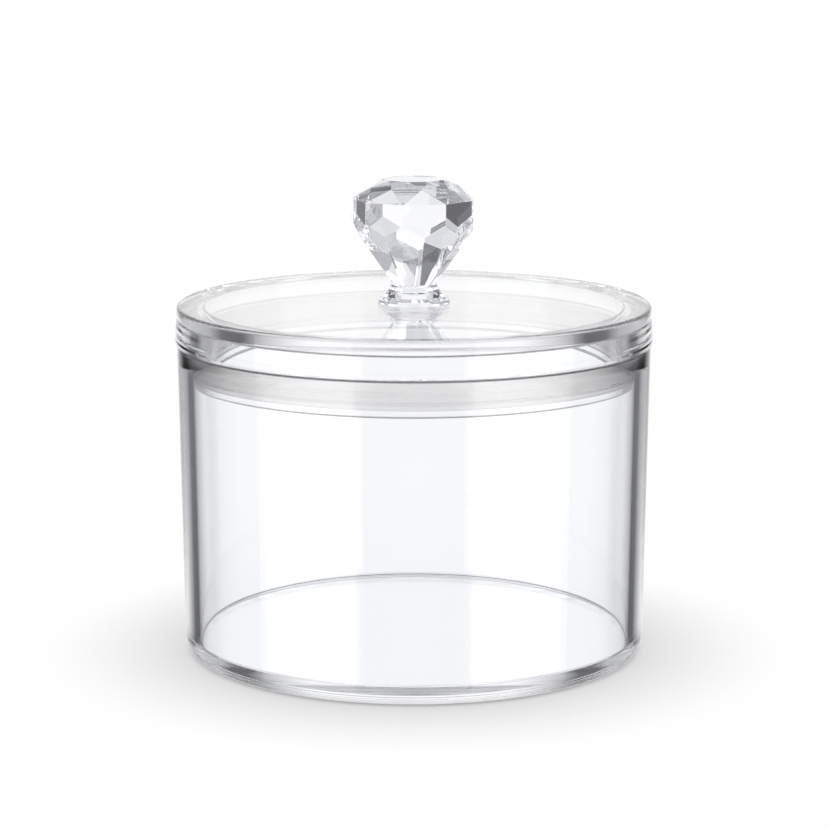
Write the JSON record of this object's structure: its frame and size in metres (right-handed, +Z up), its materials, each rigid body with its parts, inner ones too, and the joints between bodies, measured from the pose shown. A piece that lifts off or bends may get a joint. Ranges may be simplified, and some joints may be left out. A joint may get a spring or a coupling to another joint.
{
  "type": "storage jar",
  "caption": "Round clear storage jar with straight thick walls, a lift-off plug lid with a soft seal ring and a faceted gem-shaped knob.",
  "frame": {"origin": "centre of the jar's base, on the table", "axes": "+Z up along the jar's axis, through the lid and the knob; the jar is round, and a corner of the knob points to -X"},
  "size_m": [0.121, 0.121, 0.1205],
  "materials": {
    "clear_body": "clear, polished",
    "seal": "translucent white, satin",
    "clear_knob": "clear, polished flat facets"
  },
  "bodies": {
    "jar_body": {"jar": "clear_body"},
    "lid_body": {"lid": "clear_body", "seal_ring": "seal", "knob": "clear_knob"}
  },
  "joints": [
    {"name": "lid_lift", "type": "slide", "parent": "jar_body", "child": "lid_body", "axis": [0, 0, 1], "range_m": [0, 0.04]}
  ]
}
